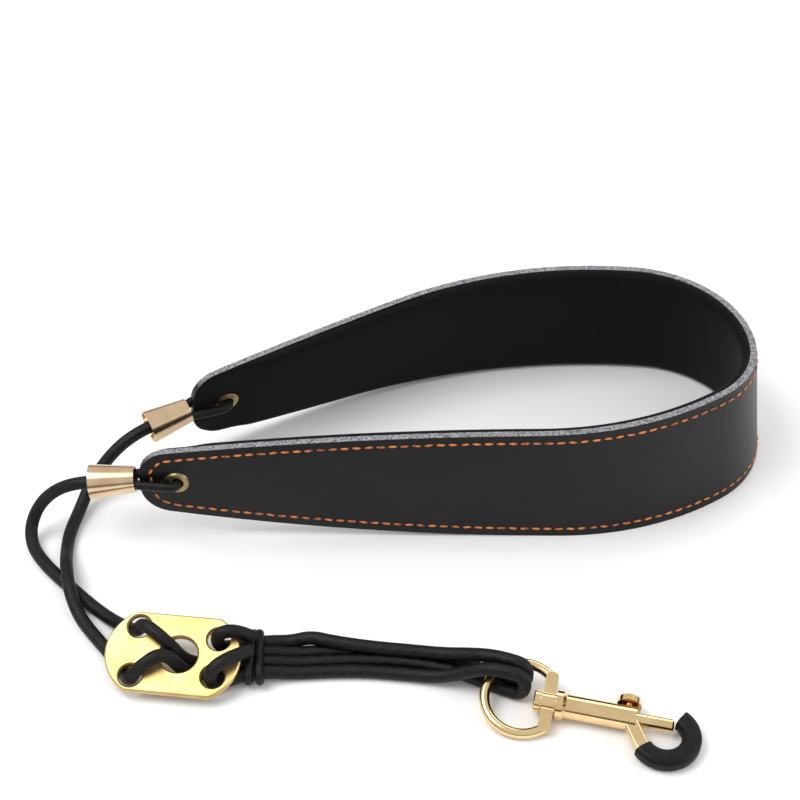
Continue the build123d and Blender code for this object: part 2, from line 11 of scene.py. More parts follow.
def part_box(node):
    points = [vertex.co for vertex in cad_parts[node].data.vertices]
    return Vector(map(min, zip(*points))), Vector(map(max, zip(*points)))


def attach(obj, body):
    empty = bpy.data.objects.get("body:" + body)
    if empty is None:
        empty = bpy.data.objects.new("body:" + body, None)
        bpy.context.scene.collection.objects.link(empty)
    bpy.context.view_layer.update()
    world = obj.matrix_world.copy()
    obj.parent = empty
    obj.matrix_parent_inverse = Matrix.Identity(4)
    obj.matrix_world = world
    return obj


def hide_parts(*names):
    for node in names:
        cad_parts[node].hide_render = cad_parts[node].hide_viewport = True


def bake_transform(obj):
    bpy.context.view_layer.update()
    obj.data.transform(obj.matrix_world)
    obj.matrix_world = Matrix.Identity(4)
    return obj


bl_info = {
    "name": "Saxophone Neck Strap",
    "version": (1, 0, 0),
    "blender": (4, 5, 0),
    "location": "3D View > Sidebar > Neck Strap",
    "description": "Builds the visible pieces of a leather saxophone neck strap",
    "category": "Add Mesh",
}

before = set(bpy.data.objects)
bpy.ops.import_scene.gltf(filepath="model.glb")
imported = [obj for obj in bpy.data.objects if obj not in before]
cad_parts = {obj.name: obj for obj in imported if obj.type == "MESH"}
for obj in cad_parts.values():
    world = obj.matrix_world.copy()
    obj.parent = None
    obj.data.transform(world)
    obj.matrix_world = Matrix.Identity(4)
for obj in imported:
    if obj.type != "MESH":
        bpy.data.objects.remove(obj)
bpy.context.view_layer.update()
MM = 0.001
# Level in mm of a cord's middle where it lies on the surface.
LOWEST = 2.2
BAND_LOW, BAND_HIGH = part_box("leather_band")
BAND_HEIGHT = (BAND_HIGH[2] - BAND_LOW[2]) / MM
TIP_X = -100.2

# The band's plan, in millimetres: y at the front tip, first straight, bend radii, last straight.
BEND_TURNS = (35.0, 55.0, 84.5, 33.0)
BOTTOM_EDGE = (2.9, 143.6, (102.5, 40.0, 43.0, 213.0), 56.8)
TOP_EDGE = (2.5, 133.8, (113.0, 32.5, 44.0, 153.0), 81.1)
TAPER_LENGTH = 145.0
TAPER_BOTTOMS = {"front": 14.2, "back": 9.0}
TIP_HEIGHTS = {"front": 26.3, "back": 24.6}
TAPER_TOP = 9.6
TIP_RADIUS_BOTTOM = 11.5
TIP_RADIUS_TOP = 10.5
LEATHER = 2.3
TIP_THICKNESS = 3.3
BAND_THICKNESS = 5.6
PAD_START = 17.3
PAD_FULL = 25.3
EYELET_IN = 12.5
EYELET_BARREL = 5.5
SEAM_INSET = 3.5
SEAM_DEPTH = -0.05
# The lining's crown in mm, and its shoulder's rise as a share of its depth.
CROWN = 0.25
SHOULDER = 1.15
# A stitch's thickness across as a share of the thread, and how its tilt varies.
STITCH_FLATNESS = 0.75
STITCH_TILT = 0.12
STITCH_TILT_STEP = 2.4
# The knot's two turns: places in turns' radii, control points, and how square and skewed they are.
WRAP_PLACES = (-0.9, 0.95)
WRAP_POINTS = 20
WRAP_SQUARE = (0.5, 0.75)
WRAP_SKEW = 0.5
# The braid: waves round the cord, and length of a wave in cord diameters.
BRAID_TURNS = 4.0
BRAID_PITCH = 0.2
# Places along the band are counted in runs of its plan: 0 is the front tip.
LAST_RUN = 5.0
BACK_END = 6.0
MIDDLE = 3.0
TIP_RUN = 14.0
TIP_STEPS = 12
# The stage: camera in mm; lamps with place and size in metres, and power as a share of the key light's.
CAMERA_PLACE = (-12.2, -431.1, 454.3)
CAMERA_TARGET = (-12.2, 73.5, 0.0)
SENSOR = 36.0
FLOOR_HALF = 6.0
FLOOR_DROP = 0.05
LAMPS = (
    ("key_softbox", (-0.5, -0.1, 0.9), 0.6, 1.0),
    ("back_softbox", (0.45, 0.7, 0.6), 0.6, 0.35),
    ("side_softbox", (0.8, -0.3, 0.35), 0.35, 0.35),
)

# Cord routes in millimetres, as the cords lie.
LEAD_FRONT = (
    (-114.25, 4.33, 25.22), (-121.72, 4.33, 24.57),
    (-129.7, 5.7, 20.0), (-136.2, 6.0, 13.0), (-139.8, 2.5, 6.0), (-139.0, -3.5, 2.1),
    (-134.4, -11.0, 2.0), (-128.0, -18.3, 2.0), (-122.0, -24.1, 2.0), (-114.7, -31.5, 2.0),
    (-107.7, -37.5, 2.3), (-101.2, -43.5, 5.0), (-97.0, -47.5, 8.2), (-94.8, -49.3, 14.6),
    (-86.7, -55.85, 12.9), (-84.06, -56.1, 8.3),
)
LEAD_BACK = (
    (-98.32, 35.3, 22.98), (-104.87, 31.74, 22.2),
    (-113.6, 26.8, 17.0), (-121.3, 20.8, 8.0), (-124.5, 12.6, 3.0), (-126.8, 2.5, 2.0),
    (-126.6, -7.0, 2.1), (-124.8, -17.1, 6.8), (-122.4, -27.9, 6.8), (-118.5, -36.0, 2.2),
    (-112.7, -44.0, 2.0), (-106.2, -52.0, 2.0), (-100.7, -60.0, 2.0), (-98.8, -64.0, 3.2),
    (-95.8, -64.7, 9.6), (-87.2, -60.2, 13.7), (-84.16, -60.4, 8.3),
)
STRAND_FRONT = (
    (-84.0, -56.1, 8.2), (-80.6, -56.4, 2.3), (-71.7, -55.1, 2.3), (-63.2, -53.7, 4.1),
    (-55.2, -52.8, 4.3), (-46.7, -51.9, 2.1), (-36.2, -50.9, 2.0), (-24.2, -50.4, 2.1), (-12.2, -50.9, 2.0),
    (-3.2, -52.3, 2.0), (5.8, -54.7, 2.1), (13.8, -58.5, 2.0), (20.8, -61.8, 2.0),
    (28.0, -65.0, 2.1), (28.1, -65.4, 12.2), (22.3, -63.1, 12.6), (16.3, -60.9, 12.0),
    (9.3, -57.9, 9.0), (1.8, -55.5, 6.2), (-9.2, -53.8, 5.8), (-21.2, -52.5, 5.9),
    (-33.2, -50.5, 6.1), (-41.2, -48.1, 6.0), (-47.7, -47.9, 3.4), (-54.7, -48.7, 4.3),
    (-61.7, -49.7, 4.2), (-66.2, -51.5, 5.2), (-70.4, -53.1, 6.8), (-71.0, -54.1, 14.6),
    (-64.4, -52.7, 14.9), (-59.4, -52.5, 10.8),
)
STRAND_BACK = (
    (-84.1, -60.4, 8.2), (-80.8, -60.6, 2.3), (-71.7, -59.3, 2.3), (-63.2, -57.8, 4.1),
    (-55.2, -56.9, 4.3), (-46.7, -56.0, 2.1), (-36.2, -55.1, 2.0), (-24.2, -54.6, 2.1), (-12.2, -55.1, 2.0),
    (-3.2, -56.6, 2.0), (5.8, -59.2, 2.1), (13.8, -63.2, 2.0), (19.8, -66.2, 2.0),
    (27.0, -69.0, 2.1), (27.2, -69.3, 11.6), (21.3, -67.4, 12.0), (15.3, -65.7, 11.6),
    (8.3, -63.9, 7.2), (0.3, -62.3, 2.9), (-11.2, -60.4, 2.0), (-24.2, -59.1, 2.1),
    (-36.2, -59.4, 2.0), (-46.7, -60.1, 2.1), (-55.2, -61.0, 4.2), (-62.2, -62.1, 4.1), (-67.2, -63.9, 3.2),
    (-72.0, -65.8, 3.0), (-72.5, -66.4, 11.0), (-66.0, -62.0, 12.8), (-59.8, -58.1, 11.0),
)
# A doubled loop in a tip's own directions: along the band from the tip, and in through its thickness.
LOOP_ROUTE = (
    (-7.0, 0.6), (-3.5, 0.0), (-0.2, -1.4), (5.5, -2.0), (10.0, -2.5), (12.9, -2.1),
    (12.9, 1.65), (12.9, 5.5), (10.0, 6.1), (5.5, 5.5), (-0.2, 4.7), (-3.5, 3.4), (-7.0, 2.8),
)

MATERIALS = {}


# ---- Materials --------------------------------------------------------------------------------


def linear(code):
    """Turn an sRGB hex colour into Blender's linear colour."""
    channels = [int(code[i:i + 2], 16) / 255 for i in (1, 3, 5)]
    curve = [c / 12.92 if c <= 0.04045 else ((c + 0.055) / 1.055) ** 2.4 for c in channels]
    return (*curve, 1.0)


def add_node(tree, kind, settings=None, values=None, links=None, stops=()):
    """Add one node with its settings, socket values, incoming links and, on a ramp, colour stops."""
    node = tree.nodes.new(kind)
    for key, value in (settings or {}).items():
        setattr(node, key, value)
    for key, value in (values or {}).items():
        node.inputs[key].default_value = value
    for key, source in (links or {}).items():
        tree.links.new(source, node.inputs[key])
    for end, (position, colour) in zip((0, 1), (stops[:1] + stops[-1:]) if stops else ()):
        node.color_ramp.elements[end].position = position
        node.color_ramp.elements[end].color = colour
    for position, colour in stops[1:-1]:
        node.color_ramp.elements.new(position).color = colour
    return node


def start_material(name, values):
    """A new node material with its shader's own values; returns its tree, shader and coordinates."""
    material = bpy.data.materials.new(name)
    material.use_nodes = True
    tree = material.node_tree
    shader = tree.nodes["Principled BSDF"]
    for key, value in values.items():
        shader.inputs[key].default_value = value
    place = add_node(tree, "ShaderNodeTexCoord")
    MATERIALS[name] = material
    return tree, shader, place.outputs["Object"]


def per_mm(size):
    """Texture scale, in object coordinates of metres, of a pattern with this size in mm."""
    return 1.0 / (size * MM)


def leather_material(colour, edge):
    """Corrected-grain cowhide: a fine pebble with a soft sheen, and a raw fibrous cut edge."""
    tree, shader, place = start_material("corrected_grain_cowhide", {"Specular IOR Level": 0.22})
    pebble = add_node(tree, "ShaderNodeTexVoronoi", {"feature": "SMOOTH_F1"},
                      {"Scale": per_mm(0.9), "Randomness": 1.0}, {"Vector": place})
    pores = add_node(tree, "ShaderNodeTexNoise", None,
                     {"Scale": per_mm(0.5), "Detail": 4.0, "Roughness": 0.6}, {"Vector": place})
    cloud = add_node(tree, "ShaderNodeTexNoise", None,
                     {"Scale": per_mm(24), "Detail": 3.0}, {"Vector": place})
    face = add_node(tree, "ShaderNodeValToRGB", links={"Fac": cloud.outputs["Fac"]},
                    stops=[(0.3, colour), (0.8, linear("#131316"))])
    fibre = add_node(tree, "ShaderNodeTexNoise", None,
                     {"Scale": per_mm(0.7), "Detail": 5.0, "Roughness": 0.75}, {"Vector": place})
    raw = add_node(tree, "ShaderNodeValToRGB", links={"Fac": fibre.outputs["Fac"]},
                   stops=[(0.36, linear("#242528")), (0.62, edge)])
    geometry = add_node(tree, "ShaderNodeNewGeometry")
    normal = add_node(tree, "ShaderNodeSeparateXYZ", links={"Vector": geometry.outputs["Normal"]})
    up = add_node(tree, "ShaderNodeMapRange", None, {"From Min": 0.55, "From Max": 0.8},
                  {"Value": normal.outputs["Z"]})
    mix = add_node(tree, "ShaderNodeMix", {"data_type": "RGBA"},
                   links={"Factor": up.outputs["Result"], "A": face.outputs["Color"],
                          "B": raw.outputs["Color"]})
    tree.links.new(mix.outputs[2], shader.inputs["Base Color"])
    rough = add_node(tree, "ShaderNodeMapRange", None, {"To Min": 0.38, "To Max": 0.95},
                     {"Value": up.outputs["Result"]})
    tree.links.new(rough.outputs["Result"], shader.inputs["Roughness"])
    height = add_node(tree, "ShaderNodeMath", {"operation": "MULTIPLY_ADD"}, {1: 0.6},
                      {0: pores.outputs["Fac"], 2: pebble.outputs["Distance"]})
    bump = add_node(tree, "ShaderNodeBump", None, {"Strength": 0.28, "Distance": 0.12 * MM},
                    {"Height": height.outputs["Value"]})
    tree.links.new(bump.outputs["Normal"], shader.inputs["Normal"])


def cloth_material(name, low, high, grain, sheen):
    """A brushed or braided black cloth: a fine uneven surface that scatters light."""
    tree, shader, place = start_material(name, {"Roughness": 0.85, "Specular IOR Level": 0.2,
                                                "Sheen Weight": sheen, "Sheen Roughness": 0.4})
    fleck = add_node(tree, "ShaderNodeTexNoise", None,
                     {"Scale": per_mm(grain), "Detail": 4.0, "Roughness": 0.7}, {"Vector": place})
    colour = add_node(tree, "ShaderNodeValToRGB", links={"Fac": fleck.outputs["Fac"]},
                      stops=[(0.3, linear(low)), (0.75, high)])
    tree.links.new(colour.outputs["Color"], shader.inputs["Base Color"])
    bump = add_node(tree, "ShaderNodeBump", None, {"Strength": 0.5, "Distance": 0.15 * MM},
                    {"Height": fleck.outputs["Fac"]})
    tree.links.new(bump.outputs["Normal"], shader.inputs["Normal"])


def cord_material(colour):
    """Braided polyester cord: fine crossing strands, black, with a satin gloss and painted shade in the
    grooves between strands.
    """
    tree, shader, place = start_material("braided_polyester_cord",
                                         {"Roughness": 0.55, "Specular IOR Level": 0.3})
    uv = add_node(tree, "ShaderNodeAttribute", {"attribute_name": "braid"})
    split = add_node(tree, "ShaderNodeSeparateXYZ", links={"Vector": uv.outputs["Vector"]})
    heights = []
    for side in (1.0, -1.0):
        lean = add_node(tree, "ShaderNodeMath", {"operation": "MULTIPLY_ADD"}, {1: side},
                        {0: split.outputs["Y"], 2: split.outputs["X"]})
        wave = add_node(tree, "ShaderNodeMath", {"operation": "SINE"}, links={0: lean.outputs["Value"]})
        heights.append(wave.outputs["Value"])
    weave = add_node(tree, "ShaderNodeMath", {"operation": "MAXIMUM"}, links={0: heights[0], 1: heights[1]})
    # Painted shade: where the weave is low, in the grooves between strands, the colour falls to near black.
    painted_groove_shade = add_node(tree, "ShaderNodeValToRGB", links={"Fac": weave.outputs["Value"]},
                     stops=[(0.0, linear("#020202")), (0.9, colour)])
    tree.links.new(painted_groove_shade.outputs["Color"], shader.inputs["Base Color"])
    bump = add_node(tree, "ShaderNodeBump", None, {"Strength": 0.35, "Distance": 0.12 * MM},
                    {"Height": weave.outputs["Value"]})
    tree.links.new(bump.outputs["Normal"], shader.inputs["Normal"])


def metal_material(name, colour, worn, rough, grain, depth):
    """A plated metal: its colour drifts slightly, and handling leaves fine marks in the gloss."""
    tree, shader, place = start_material(name, {"Metallic": 1.0, "Roughness": rough})
    drift = add_node(tree, "ShaderNodeTexNoise", None,
                     {"Scale": per_mm(9), "Detail": 3.0}, {"Vector": place})
    tone = add_node(tree, "ShaderNodeValToRGB", links={"Fac": drift.outputs["Fac"]},
                    stops=[(0.35, colour), (0.8, linear(worn))])
    tree.links.new(tone.outputs["Color"], shader.inputs["Base Color"])
    marks = add_node(tree, "ShaderNodeTexNoise", None,
                     {"Scale": per_mm(grain), "Detail": 5.0, "Roughness": 0.65}, {"Vector": place})
    gloss = add_node(tree, "ShaderNodeMapRange", None, {"To Min": rough * 0.8, "To Max": rough * 1.35},
                     {"Value": marks.outputs["Fac"]})
    tree.links.new(gloss.outputs["Result"], shader.inputs["Roughness"])
    bump = add_node(tree, "ShaderNodeBump", None, {"Strength": depth, "Distance": 0.05 * MM},
                    {"Height": marks.outputs["Fac"]})
    tree.links.new(bump.outputs["Normal"], shader.inputs["Normal"])


def rubber_material(colour):
    """Dipped rubber sleeve: satin black with faint moulding ripples."""
    tree, shader, place = start_material("dipped_rubber", {"Roughness": 0.5, "Specular IOR Level": 0.18})
    ripple = add_node(tree, "ShaderNodeTexNoise", None,
                      {"Scale": per_mm(1.6), "Detail": 3.0}, {"Vector": place})
    tone = add_node(tree, "ShaderNodeValToRGB", links={"Fac": ripple.outputs["Fac"]},
                    stops=[(0.3, colour), (0.8, linear("#19191b"))])
    tree.links.new(tone.outputs["Color"], shader.inputs["Base Color"])
    bump = add_node(tree, "ShaderNodeBump", None, {"Strength": 0.2, "Distance": 0.1 * MM},
                    {"Height": ripple.outputs["Fac"]})
    tree.links.new(bump.outputs["Normal"], shader.inputs["Normal"])


def thread_material(colour):
    """Waxed polyester thread: orange-brown, darker in random patches along its twist."""
    tree, shader, place = start_material("waxed_thread", {"Roughness": 0.55})
    twist = add_node(tree, "ShaderNodeTexNoise", None,
                     {"Scale": per_mm(2.5), "Detail": 3.0}, {"Vector": place})
    tone = add_node(tree, "ShaderNodeValToRGB", links={"Fac": twist.outputs["Fac"]},
                    stops=[(0.35, linear("#7a3f1a")), (0.55, colour)])
    tree.links.new(tone.outputs["Color"], shader.inputs["Base Color"])


def give(piece, name):
    """Put one finish on a piece."""
    piece.data.materials.clear()
    piece.data.materials.append(MATERIALS[name])


# ---- The band's shape -------------------------------------------------------------------------


def edge_point(edge, at, depth):
    """Point of one plan edge: at counts its runs and bends from the front tip; depth goes inwards."""
    y, first, radii, last = edge
    runs = [first, *(r * math.radians(t) for r, t in zip(radii, BEND_TURNS)), last]
    spot, heading = Vector((TIP_X, y)), 0.0
    for index, run in enumerate(runs):
        share = min(max(at - index, 0.0), 1.0)
        if 0 < index < len(runs) - 1:
            radius, turn = radii[index - 1], math.radians(BEND_TURNS[index - 1]) * share
            centre = spot + radius * Vector((-math.sin(heading), math.cos(heading)))
            heading += turn
            spot = centre - radius * Vector((-math.sin(heading), math.cos(heading)))
        else:
            spot = spot + run * share * Vector((math.cos(heading), math.sin(heading)))
        if share < 1.0:
            break
    return spot + depth * Vector((-math.sin(heading), math.cos(heading)))


BACK_TIP = edge_point(BOTTOM_EDGE, BACK_END, 0.0)
BACK_ALONG = (edge_point(BOTTOM_EDGE, LAST_RUN, 0.0) - BACK_TIP).normalized()
RUN_LENGTHS = [0.5 * (a + b) for a, b in zip(
    (BOTTOM_EDGE[1], *(r * math.radians(t) for r, t in zip(BOTTOM_EDGE[2], BEND_TURNS)), BOTTOM_EDGE[3]),
    (TOP_EDGE[1], *(r * math.radians(t) for r, t in zip(TOP_EDGE[2], BEND_TURNS)), TOP_EDGE[3]))]


def band_point(at, level, depth):
    """A point of the band in mm: at along its plan, level up, depth in from the outer face."""
    share = level / BAND_HEIGHT
    low, high = edge_point(BOTTOM_EDGE, at, depth), edge_point(TOP_EDGE, at, depth)
    spot = low.lerp(high, share)
    return Vector((spot.x, spot.y, level))


def from_tip(at):
    """Distance in mm along the band from the nearer tip."""
    spot = band_point(at, BAND_HEIGHT / 2, 0.0).xy
    if at < MIDDLE:
        return spot.x - TIP_X
    middle_tip = band_point(BACK_END, BAND_HEIGHT / 2, 0.0).xy
    return (spot - middle_tip).dot(BACK_ALONG)


def levels(at, inset=0.0):
    """The lowest and highest level of the band's outline, drawn in by an inset."""
    u = from_tip(at)
    low, high = inset, BAND_HEIGHT - inset
    if u < TAPER_LENGTH:
        gone = TAPER_LENGTH - u
        bottom = TAPER_BOTTOMS["front" if at < MIDDLE else "back"]
        for_low = (TAPER_LENGTH ** 2 + bottom ** 2) / (2 * bottom)
        for_high = (TAPER_LENGTH ** 2 + TAPER_TOP ** 2) / (2 * TAPER_TOP)
        low += for_low - math.sqrt(for_low ** 2 - gone ** 2)
        high -= for_high - math.sqrt(for_high ** 2 - gone ** 2)
    for radius, sign in ((TIP_RADIUS_BOTTOM - inset, 1), (TIP_RADIUS_TOP - inset, -1)):
        short = radius - (u - inset)
        if short > 0:
            rise = radius - math.sqrt(max(radius ** 2 - min(short, radius) ** 2, 0.0))
            low, high = (low + rise, high) if sign > 0 else (low, high - rise)
    return low, max(high, low + 0.05)


def stations(step):
    """Places along the band, close together in the round tips and step mm apart between them."""
    total = sum(RUN_LENGTHS)
    between = total - 2 * TIP_RUN
    near = [TIP_RUN * (1 - math.cos(math.pi / 2 * k / TIP_STEPS)) for k in range(TIP_STEPS + 1)]
    count = int(between / step)
    lengths = near + [TIP_RUN + between * k / count for k in range(1, count)]
    lengths += [total - length for length in reversed(near)]
    places = []
    for length in lengths:
        index = 0
        while index < LAST_RUN and length > RUN_LENGTHS[index]:
            length -= RUN_LENGTHS[index]
            index += 1
        places.append(index + min(length / RUN_LENGTHS[index], 1.0))
    return places


def new_piece(name, bm):
    """Make a finished object of a bmesh, with its faces turned out."""
    bmesh.ops.recalc_face_normals(bm, faces=bm.faces)
    mesh = bpy.data.meshes.new(name)
    bm.to_mesh(mesh)
    bm.free()
    for face in mesh.polygons:
        face.use_smooth = True
    piece = bpy.data.objects.new(name, mesh)
    bpy.context.scene.collection.objects.link(piece)
    return piece


def plain_mesh(piece):
    """Replace a piece's mesh by its evaluated one, so that no modifier is left."""
    bpy.context.view_layer.update()
    evaluated = piece.evaluated_get(bpy.context.evaluated_depsgraph_get())
    mesh = bpy.data.meshes.new_from_object(evaluated)
    piece.modifiers.clear()
    piece.data = mesh
    return piece


def tip_frame(end):
    """A tip's place in mm: middle of its outer face, and its directions along and through."""
    at = 0.0 if end == "front" else BACK_END
    origin = band_point(at, TIP_HEIGHTS[end], 0.0)
    along = Vector((1, 0, 0)) if end == "front" else Vector((*BACK_ALONG, 0))
    up = (band_point(at, BAND_HEIGHT, 0.0) - band_point(at, 0.0, 0.0)).normalized()
    through = up.cross(along) if end == "front" else along.cross(up)
    return origin, along, through


def lining_section(at, steps=6):
    """The lining's closed outline at a place: rounded shoulders, a slightly crowned inner face."""
    low, high = levels(at)
    u = from_tip(at)
    fill = min(max((u - PAD_START) / (PAD_FULL - PAD_START), 0.0), 1.0)
    fill = fill * fill * (3 - 2 * fill)
    full = TIP_THICKNESS + (BAND_THICKNESS - TIP_THICKNESS) * fill
    deep = full - LEATHER
    round_up = min(deep * SHOULDER, (high - low) / 2)
    outline = []
    for k in range(steps + 1):
        turn = math.pi / 2 * k / steps
        outline.append((LEATHER + deep * math.sin(turn), high - round_up * (1 - math.cos(turn))))
    for k in range(1, steps):
        share = k / steps
        crown = CROWN * fill * math.sin(math.pi * share)
        outline.append((LEATHER + deep + crown, high - round_up - (high - low - 2 * round_up) * share))
    for k in range(steps + 1):
        turn = math.pi / 2 * (1 - k / steps)
        outline.append((LEATHER + deep * math.sin(turn), low + round_up * (1 - math.cos(turn))))
    outline += [(LEATHER, low + (high - low) * share) for share in (0.25, 0.5, 0.75, 1.0)]
    return outline


def make_lining():
    """The padded lining inside the band."""
    places = stations(3.0)
    sections = [lining_section(at) for at in places]
    across = len(sections[0])
    bm = bmesh.new()
    bmesh.ops.create_grid(bm, x_segments=len(places) - 1, y_segments=across - 1, size=0.5)
    for vert in bm.verts:
        column = round((vert.co.x + 0.5) * (len(places) - 1))
        row = round((vert.co.y + 0.5) * (across - 1))
        depth, level = sections[column][row]
        vert.co = band_point(places[column], level, depth) * MM
    bmesh.ops.remove_doubles(bm, verts=bm.verts, dist=1e-6)
    bmesh.ops.holes_fill(bm, edges=[e for e in bm.edges if e.is_boundary], sides=0)
    piece = new_piece("padded_lining", bm)
    for end in ("front", "back"):
        origin, along, through = tip_frame(end)
        centre = (origin + along * EYELET_IN + through * 3.0) * MM
        turn = Vector((0, 0, 1)).rotation_difference(through).to_matrix().to_4x4()
        cutter = bmesh.new()
        barrel = EYELET_BARREL * MM / 2
        bmesh.ops.create_cone(cutter, cap_ends=True, segments=40, radius1=barrel, radius2=barrel,
                              depth=4 * TIP_THICKNESS * MM, matrix=Matrix.Translation(centre) @ turn)
        tool = new_piece(f"eyelet_cutter_{end}", cutter)
        cut = piece.modifiers.new("eyelet", "BOOLEAN")
        cut.operation, cut.object, cut.solver = "DIFFERENCE", tool, "EXACT"
        plain_mesh(piece)
        bpy.data.objects.remove(tool)
    return piece


def stitch_line(inset, depth, pitch):
    """Evenly spaced points, with their directions, all round the band's face at an inset from its edge."""
    places = [at for at in stations(2.0) if from_tip(at) >= inset]
    top = [band_point(at, levels(at, inset)[1], depth) for at in places]
    bottom = [band_point(at, levels(at, inset)[0], depth) for at in reversed(places)]
    loop = top + bottom
    loop.append(loop[0])
    total = sum((b - a).length for a, b in zip(loop, loop[1:]))
    count = round(total / pitch)
    step, points, walked, goal = total / count, [], 0.0, 0.0
    for a, b in zip(loop, loop[1:]):
        run = (b - a).length
        while goal < walked + run and len(points) < count:
            points.append((a.lerp(b, (goal - walked) / run), (b - a).normalized()))
            goal += step
        walked += run
    return points


def make_stitching(settings):
    """One seam round the whole face of the band: short dashes sunk at their ends."""
    bm = bmesh.new()
    half, thick = settings.stitch_length / MM / 2, settings.thread / MM / 2
    for index, (spot, way) in enumerate(stitch_line(SEAM_INSET, SEAM_DEPTH, settings.stitch_pitch / MM)):
        side = way.cross(Vector((0, 0, 1)))
        side = side.normalized() if side.length > 0.2 else Vector((0, 1, 0))
        lean = STITCH_TILT * math.sin(index * STITCH_TILT_STEP)
        up = side.cross(way).normalized()
        way = (way + up * lean).normalized()
        turn = Matrix((way, side, way.cross(side))).transposed().to_4x4()
        shape = Matrix.Diagonal((half, thick * STITCH_FLATNESS, thick, 1))
        place = Matrix.Translation(spot * MM) @ turn @ Matrix.Scale(MM, 4) @ shape
        bmesh.ops.create_uvsphere(bm, u_segments=8, v_segments=6, radius=1.0,
                                  matrix=place @ Matrix.Rotation(math.pi / 2, 4, "Y"))
    return new_piece("stitching", bm)


# ---- Cords ------------------------------------------------------------------------------------


def cord_curve(name, points, cyclic=False):
    """A smooth line with the route's points as its control points."""
    data = bpy.data.curves.new(name, "CURVE")
    data.dimensions = "3D"
    spline = data.splines.new("NURBS")
    spline.points.add(len(points) - 1)
    for point, (x, y, z) in zip(spline.points, points):
        point.co = (x * MM, y * MM, max(z, LOWEST) * MM, 1.0)
    spline.order_u = 3
    spline.use_endpoint_u = not cyclic
    spline.use_cyclic_u = cyclic
    spline.resolution_u = 10
    data.resolution_u = 10
    curve = bpy.data.objects.new(name + "_line", data)
    bpy.context.scene.collection.objects.link(curve)
    return curve


def cord_tube(name, points, diameter, cyclic=False):
    """A round cord along a route; returns the piece and the line that it follows."""
    curve = cord_curve(name, points, cyclic)
    bpy.context.view_layer.update()
    line = bpy.data.meshes.new_from_object(curve.evaluated_get(bpy.context.evaluated_depsgraph_get()))
    path = [vert.co.copy() for vert in line.vertices]
    curve.data.bevel_depth = diameter / 2
    curve.data.bevel_resolution = 6
    curve.data.use_fill_caps = not cyclic
    bpy.context.view_layer.update()
    mesh = bpy.data.meshes.new_from_object(curve.evaluated_get(bpy.context.evaluated_depsgraph_get()))
    mesh.name = name
    piece = bpy.data.objects.new(name, mesh)
    bpy.context.scene.collection.objects.link(piece)
    bpy.data.objects.remove(curve)
    mark_braid(piece, path, diameter)
    for face in mesh.polygons:
        face.use_smooth = True
    return piece, path


def mark_braid(piece, path, diameter):
    """Give each vertex its angle round the cord and its distance along it, for the braid."""
    braid = piece.data.attributes.new("braid", "FLOAT_VECTOR", "POINT")
    walked, lengths = 0.0, []
    for index, spot in enumerate(path):
        walked += (spot - path[index - 1]).length if index else 0.0
        lengths.append(walked)
    ring = max(len(piece.data.vertices) // len(path), 1)
    for vert in piece.data.vertices:
        station = min(vert.index // ring, len(path) - 1)
        angle = 2 * math.pi * (vert.index % ring) / ring
        reach = lengths[station] / (diameter * BRAID_PITCH)
        braid.data[vert.index].vector = (reach, angle * BRAID_TURNS, 0.0)


def tip_loop(end):
    """The doubled cord through one eyelet."""
    origin, along, through = tip_frame(end)
    low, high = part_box(f"cone_{end}")
    cone = (Vector(low) + Vector(high)) / 2 / MM
    toward = (cone - origin - through * TIP_THICKNESS / 2).normalized()
    points = []
    for u, depth in LOOP_ROUTE:
        spot = origin + along * max(u, 0.0) + through * depth + toward * max(-u, 0.0)
        points.append(spot)
    return points


# ---- Settings ---------------------------------------------------------------------------------


def colour_property(name, description, code):
    """A colour that a user can change."""
    return FloatVectorProperty(name=name, description=description, default=linear(code), size=4,
                               subtype="COLOR", min=0.0, max=1.0)


def size_property(name, description, size):
    """A length that a user can change, with its default in mm."""
    return FloatProperty(name=name, description=description, default=size * MM, min=0.0,
                         subtype="DISTANCE", unit="LENGTH")


class StrapBandSettings(bpy.types.PropertyGroup):
    """Leather band, lining and seam."""

    leather: colour_property("Leather", "Colour of the leather's face", "#0b0b0d")
    edge: colour_property("Cut edge", "Colour of the raw cut edge", "#abacb0")
    lining: colour_property("Lining", "Colour of the lining", "#0a0a0b")
    thread_colour: colour_property("Thread", "Colour of the seam", "#e0803a")
    stitch_pitch: size_property("Stitch pitch", "Pitch of the seam", 4.0)
    stitch_length: size_property("Stitch length", "Length of a stitch", 2.9)
    thread: size_property("Thread", "Thickness of the thread", 0.95)


class StrapCordSettings(bpy.types.PropertyGroup):
    """Cords, loops and the wrapped knot."""

    colour: colour_property("Cord", "Colour of the cord", "#0a0a0b")
    diameter: size_property("Cord diameter", "Diameter of the cord", 4.4)
    loop: size_property("Loop diameter", "Diameter of the tip loops", 3.3)
    wrap: size_property("Wrap diameter", "Diameter of the knot's turns", 2.9)


class StrapMetalSettings(bpy.types.PropertyGroup):
    """Plated fittings."""

    plate: colour_property("Plate", "Colour of the adjuster plate", "#e2c68a")
    hook: colour_property("Hook", "Colour of the snap hook", "#f0d4a0")
    cone: colour_property("Cones", "Colour of the cones", "#e6cba8")
    eyelet: colour_property("Eyelets", "Colour of the eyelets", "#a89670")
    sleeve: colour_property("Sleeve", "Colour of the rubber sleeve", "#0d0d0f")


class StrapStageSettings(bpy.types.PropertyGroup):
    """Camera, floor and light."""

    floor: colour_property("Floor", "Colour of the floor", "#fafafa")
    world: FloatProperty(name="Sky", description="Strength of the surrounding light",
                         default=0.75, min=0.0)
    key: FloatProperty(name="Key", description="Power of the main light", default=6.0, min=0.0, unit="POWER")
    lens: FloatProperty(name="Lens", description="Focal length in mm", default=81.0, min=1.0)


# ---- Operators --------------------------------------------------------------------------------


